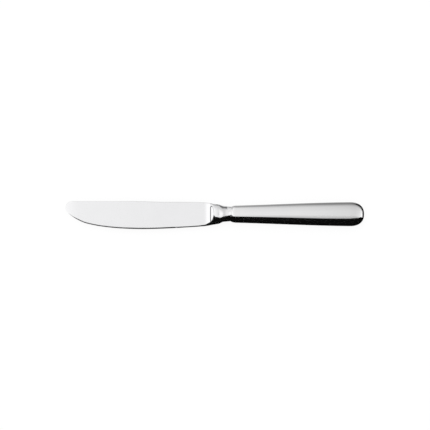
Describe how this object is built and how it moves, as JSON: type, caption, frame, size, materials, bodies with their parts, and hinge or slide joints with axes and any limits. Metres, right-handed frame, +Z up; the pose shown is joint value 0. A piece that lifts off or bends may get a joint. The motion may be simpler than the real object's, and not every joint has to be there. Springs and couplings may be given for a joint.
{
  "type": "butter knife",
  "caption": "Polished stainless butter knife: round-tipped blade with a ground shoulder, forged bolster and neck, and a hollow handle that swells to a rounded butt.",
  "frame": {"origin": "on the table, under the middle of the knife's box", "axes": "+X from the tip to the butt, +Y from the cutting edge to the spine, +Z up out of the blade's face; the knife lies on its side"},
  "size_m": [0.17, 0.016, 0.0086],
  "materials": {
    "blade_steel": "mirror polished hardened stainless steel",
    "handle_steel": "mirror polished drawn stainless steel sheet",
    "braze": "as flowed, dull, out of sight",
    "cement": "cast filled resin, out of sight"
  },
  "bodies": {
    "root": {"blade": "blade_steel", "handle_shell_front": "handle_steel", "handle_shell_back": "handle_steel", "seam_braze": "braze", "mouth_braze": "braze", "tang_cement": "cement"}
  },
  "joints": []
}
